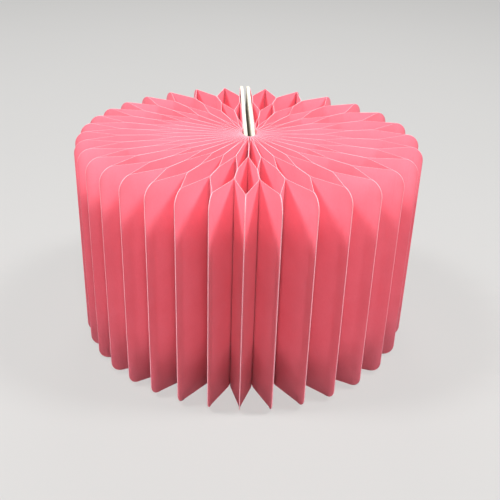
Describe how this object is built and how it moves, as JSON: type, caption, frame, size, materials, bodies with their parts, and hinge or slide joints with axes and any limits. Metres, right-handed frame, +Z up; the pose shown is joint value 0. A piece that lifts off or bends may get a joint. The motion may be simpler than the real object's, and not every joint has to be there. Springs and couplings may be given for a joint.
{
  "type": "accordion card lantern",
  "caption": "Honeycomb lantern of pleated card leaves between two stiff covers, opened right round into a free-standing drum; the covers fold round to close it flat.",
  "frame": {"origin": "on the surface the drum stands on, under the middle of its outline", "axes": "+Z up along the spine; the two covers stand back to back on the +Y side, and -Y is the front"},
  "size_m": [0.2998, 0.3088, 0.19],
  "materials": {
    "card": "matt uncoated coloured card",
    "board": "matt off-white board",
    "fastener": "woven hook and loop touch fastener"
  },
  "bodies": {
    "leaf_18": {"leaf_18": "card"},
    "left_cover": {"left_cover_board": "board", "left_hook_pad": "fastener", "left_end_sheet": "card"},
    "right_cover": {"right_cover_board": "board", "right_loop_pad": "fastener", "right_end_sheet": "card"},
    "leaf_01": {"leaf_01": "card"},
    "leaf_02": {"leaf_02": "card"},
    "leaf_03": {"leaf_03": "card"},
    "leaf_04": {"leaf_04": "card"},
    "leaf_05": {"leaf_05": "card"},
    "leaf_06": {"leaf_06": "card"},
    "leaf_07": {"leaf_07": "card"},
    "leaf_08": {"leaf_08": "card"},
    "leaf_09": {"leaf_09": "card"},
    "leaf_10": {"leaf_10": "card"},
    "leaf_11": {"leaf_11": "card"},
    "leaf_12": {"leaf_12": "card"},
    "leaf_13": {"leaf_13": "card"},
    "leaf_14": {"leaf_14": "card"},
    "leaf_15": {"leaf_15": "card"},
    "leaf_16": {"leaf_16": "card"},
    "leaf_17": {"leaf_17": "card"},
    "leaf_19": {"leaf_19": "card"},
    "leaf_20": {"leaf_20": "card"},
    "leaf_21": {"leaf_21": "card"},
    "leaf_22": {"leaf_22": "card"},
    "leaf_23": {"leaf_23": "card"},
    "leaf_24": {"leaf_24": "card"},
    "leaf_25": {"leaf_25": "card"},
    "leaf_26": {"leaf_26": "card"},
    "leaf_27": {"leaf_27": "card"},
    "leaf_28": {"leaf_28": "card"},
    "leaf_29": {"leaf_29": "card"},
    "leaf_30": {"leaf_30": "card"},
    "leaf_31": {"leaf_31": "card"},
    "leaf_32": {"leaf_32": "card"}
  },
  "joints": [
    {"name": "left_cover_fold", "type": "hinge", "parent": "leaf_18", "child": "left_cover", "pos_m": [-0.00881, -0.01516, 0], "axis": [0, 0, 1], "range_deg": [0, 176.94], "deforming": ["left_end_sheet", "leaf_18"]},
    {"name": "right_cover_fold", "type": "hinge", "parent": "leaf_18", "child": "right_cover", "pos_m": [0.00764, -0.01561, 0], "axis": [0, 0, -1], "range_deg": [0, 183.06], "deforming": ["right_end_sheet"]},
    {"name": "leaf_01_fold", "type": "hinge", "parent": "leaf_18", "child": "leaf_01", "pos_m": [-0.00821, -0.00768, 0], "axis": [0, 0, 1], "range_deg": [0, 170.39], "deforming": ["leaf_01"]},
    {"name": "leaf_02_fold", "type": "hinge", "parent": "leaf_18", "child": "leaf_02", "pos_m": [-0.00721, -0.00879, 0], "axis": [0, 0, 1], "range_deg": [0, 158.1], "deforming": ["leaf_02"]},
    {"name": "leaf_03_fold", "type": "hinge", "parent": "leaf_18", "child": "leaf_03", "pos_m": [-0.00632, -0.00984, 0], "axis": [0, 0, 1], "range_deg": [0, 146.19], "deforming": ["leaf_03"]},
    {"name": "leaf_04_fold", "type": "hinge", "parent": "leaf_18", "child": "leaf_04", "pos_m": [-0.00555, -0.0108, 0], "axis": [0, 0, 1], "range_deg": [0, 134.83], "deforming": ["leaf_04"]},
    {"name": "leaf_05_fold", "type": "hinge", "parent": "leaf_18", "child": "leaf_05", "pos_m": [-0.00487, -0.01167, 0], "axis": [0, 0, 1], "range_deg": [0, 124.11], "deforming": ["leaf_05"]},
    {"name": "leaf_06_fold", "type": "hinge", "parent": "leaf_18", "child": "leaf_06", "pos_m": [-0.00428, -0.01245, 0], "axis": [0, 0, 1], "range_deg": [0, 114.01], "deforming": ["leaf_06"]},
    {"name": "leaf_07_fold", "type": "hinge", "parent": "leaf_18", "child": "leaf_07", "pos_m": [-0.00376, -0.01314, 0], "axis": [0, 0, 1], "range_deg": [0, 104.48], "deforming": ["leaf_07"]},
    {"name": "leaf_08_fold", "type": "hinge", "parent": "leaf_18", "child": "leaf_08", "pos_m": [-0.00329, -0.01375, 0], "axis": [0, 0, 1], "range_deg": [0, 95.36], "deforming": ["leaf_08"]},
    {"name": "leaf_09_fold", "type": "hinge", "parent": "leaf_18", "child": "leaf_09", "pos_m": [-0.00286, -0.01429, 0], "axis": [0, 0, 1], "range_deg": [0, 86.48], "deforming": ["leaf_09"]},
    {"name": "leaf_10_fold", "type": "hinge", "parent": "leaf_18", "child": "leaf_10", "pos_m": [-0.00247, -0.01477, 0], "axis": [0, 0, 1], "range_deg": [0, 77.68], "deforming": ["leaf_10"]},
    {"name": "leaf_11_fold", "type": "hinge", "parent": "leaf_18", "child": "leaf_11", "pos_m": [-0.0021, -0.0152, 0], "axis": [0, 0, 1], "range_deg": [0, 68.8], "deforming": ["leaf_11"]},
    {"name": "leaf_12_fold", "type": "hinge", "parent": "leaf_18", "child": "leaf_12", "pos_m": [-0.00177, -0.01558, 0], "axis": [0, 0, 1], "range_deg": [0, 59.72], "deforming": ["leaf_12"]},
    {"name": "leaf_13_fold", "type": "hinge", "parent": "leaf_18", "child": "leaf_13", "pos_m": [-0.00145, -0.01592, 0], "axis": [0, 0, 1], "range_deg": [0, 50.38], "deforming": ["leaf_13"]},
    {"name": "leaf_14_fold", "type": "hinge", "parent": "leaf_18", "child": "leaf_14", "pos_m": [-0.00116, -0.01621, 0], "axis": [0, 0, 1], "range_deg": [0, 40.77], "deforming": ["leaf_14"]},
    {"name": "leaf_15_fold", "type": "hinge", "parent": "leaf_18", "child": "leaf_15", "pos_m": [-0.00089, -0.01645, 0], "axis": [0, 0, 1], "range_deg": [0, 30.89], "deforming": ["leaf_15"]},
    {"name": "leaf_16_fold", "type": "hinge", "parent": "leaf_18", "child": "leaf_16", "pos_m": [-0.00063, -0.01663, 0], "axis": [0, 0, 1], "range_deg": [0, 20.79], "deforming": ["leaf_16"]},
    {"name": "leaf_17_fold", "type": "hinge", "parent": "leaf_18", "child": "leaf_17", "pos_m": [-0.00038, -0.01674, 0], "axis": [0, 0, 1], "range_deg": [0, 10.5], "deforming": ["leaf_17"]},
    {"name": "leaf_19_fold", "type": "hinge", "parent": "leaf_18", "child": "leaf_19", "pos_m": [0.0001, -0.01674, 0], "axis": [0, 0, -1], "range_deg": [0, 10.72], "deforming": ["leaf_19"]},
    {"name": "leaf_20_fold", "type": "hinge", "parent": "leaf_18", "child": "leaf_20", "pos_m": [0.00035, -0.01661, 0], "axis": [0, 0, -1], "range_deg": [0, 21.72], "deforming": ["leaf_20"]},
    {"name": "leaf_21_fold", "type": "hinge", "parent": "leaf_18", "child": "leaf_21", "pos_m": [0.0006, -0.01639, 0], "axis": [0, 0, -1], "range_deg": [0, 33.05], "deforming": ["leaf_21"]},
    {"name": "leaf_22_fold", "type": "hinge", "parent": "leaf_18", "child": "leaf_22", "pos_m": [0.00087, -0.01608, 0], "axis": [0, 0, -1], "range_deg": [0, 44.75], "deforming": ["leaf_22"]},
    {"name": "leaf_23_fold", "type": "hinge", "parent": "leaf_18", "child": "leaf_23", "pos_m": [0.00117, -0.01566, 0], "axis": [0, 0, -1], "range_deg": [0, 56.85], "deforming": ["leaf_23"]},
    {"name": "leaf_24_fold", "type": "hinge", "parent": "leaf_18", "child": "leaf_24", "pos_m": [0.0015, -0.01514, 0], "axis": [0, 0, -1], "range_deg": [0, 69.32], "deforming": ["leaf_24"]},
    {"name": "leaf_25_fold", "type": "hinge", "parent": "leaf_18", "child": "leaf_25", "pos_m": [0.00188, -0.01452, 0], "axis": [0, 0, -1], "range_deg": [0, 82.1], "deforming": ["leaf_25"]},
    {"name": "leaf_26_fold", "type": "hinge", "parent": "leaf_18", "child": "leaf_26", "pos_m": [0.00234, -0.0138, 0], "axis": [0, 0, -1], "range_deg": [0, 95.14], "deforming": ["leaf_26"]},
    {"name": "leaf_27_fold", "type": "hinge", "parent": "leaf_18", "child": "leaf_27", "pos_m": [0.00288, -0.01299, 0], "axis": [0, 0, -1], "range_deg": [0, 108.37], "deforming": ["leaf_27"]},
    {"name": "leaf_28_fold", "type": "hinge", "parent": "leaf_18", "child": "leaf_28", "pos_m": [0.00353, -0.01212, 0], "axis": [0, 0, -1], "range_deg": [0, 121.74], "deforming": ["leaf_28"]},
    {"name": "leaf_29_fold", "type": "hinge", "parent": "leaf_18", "child": "leaf_29", "pos_m": [0.0043, -0.01118, 0], "axis": [0, 0, -1], "range_deg": [0, 135.24], "deforming": ["leaf_29"]},
    {"name": "leaf_30_fold", "type": "hinge", "parent": "leaf_18", "child": "leaf_30", "pos_m": [0.00519, -0.01019, 0], "axis": [0, 0, -1], "range_deg": [0, 148.85], "deforming": ["leaf_30"]},
    {"name": "leaf_31_fold", "type": "hinge", "parent": "leaf_18", "child": "leaf_31", "pos_m": [0.00623, -0.00915, 0], "axis": [0, 0, -1], "range_deg": [0, 162.6], "deforming": ["leaf_31"]},
    {"name": "leaf_32_fold", "type": "hinge", "parent": "leaf_18", "child": "leaf_32", "pos_m": [0.00741, -0.00806, 0], "axis": [0, 0, -1], "range_deg": [0, 176.51], "deforming": ["leaf_32"]}
  ],
  "couplings": [
    {"joint": "leaf_01_fold", "follows": "left_cover_fold", "ratio": 0.96298},
    {"joint": "leaf_02_fold", "follows": "left_cover_fold", "ratio": 0.89356},
    {"joint": "leaf_03_fold", "follows": "left_cover_fold", "ratio": 0.82624},
    {"joint": "leaf_04_fold", "follows": "left_cover_fold", "ratio": 0.76203},
    {"joint": "leaf_05_fold", "follows": "left_cover_fold", "ratio": 0.7014},
    {"joint": "leaf_06_fold", "follows": "left_cover_fold", "ratio": 0.64436},
    {"joint": "leaf_07_fold", "follows": "left_cover_fold", "ratio": 0.59046},
    {"joint": "leaf_08_fold", "follows": "left_cover_fold", "ratio": 0.53892},
    {"joint": "leaf_09_fold", "follows": "left_cover_fold", "ratio": 0.48878},
    {"joint": "leaf_10_fold", "follows": "left_cover_fold", "ratio": 0.43904},
    {"joint": "leaf_11_fold", "follows": "left_cover_fold", "ratio": 0.38883},
    {"joint": "leaf_12_fold", "follows": "left_cover_fold", "ratio": 0.33751},
    {"joint": "leaf_13_fold", "follows": "left_cover_fold", "ratio": 0.28473},
    {"joint": "leaf_14_fold", "follows": "left_cover_fold", "ratio": 0.23038},
    {"joint": "leaf_15_fold", "follows": "left_cover_fold", "ratio": 0.17458},
    {"joint": "leaf_16_fold", "follows": "left_cover_fold", "ratio": 0.11751},
    {"joint": "leaf_17_fold", "follows": "left_cover_fold", "ratio": 0.059314},
    {"joint": "leaf_19_fold", "follows": "right_cover_fold", "ratio": 0.058559},
    {"joint": "leaf_20_fold", "follows": "right_cover_fold", "ratio": 0.11862},
    {"joint": "leaf_21_fold", "follows": "right_cover_fold", "ratio": 0.18051},
    {"joint": "leaf_22_fold", "follows": "right_cover_fold", "ratio": 0.24446},
    {"joint": "leaf_23_fold", "follows": "right_cover_fold", "ratio": 0.31054},
    {"joint": "leaf_24_fold", "follows": "right_cover_fold", "ratio": 0.37864},
    {"joint": "leaf_25_fold", "follows": "right_cover_fold", "ratio": 0.44848},
    {"joint": "leaf_26_fold", "follows": "right_cover_fold", "ratio": 0.51971},
    {"joint": "leaf_27_fold", "follows": "right_cover_fold", "ratio": 0.59197},
    {"joint": "leaf_28_fold", "follows": "right_cover_fold", "ratio": 0.66502},
    {"joint": "leaf_29_fold", "follows": "right_cover_fold", "ratio": 0.73874},
    {"joint": "leaf_30_fold", "follows": "right_cover_fold", "ratio": 0.8131},
    {"joint": "leaf_31_fold", "follows": "right_cover_fold", "ratio": 0.88822},
    {"joint": "leaf_32_fold", "follows": "right_cover_fold", "ratio": 0.96422}
  ]
}
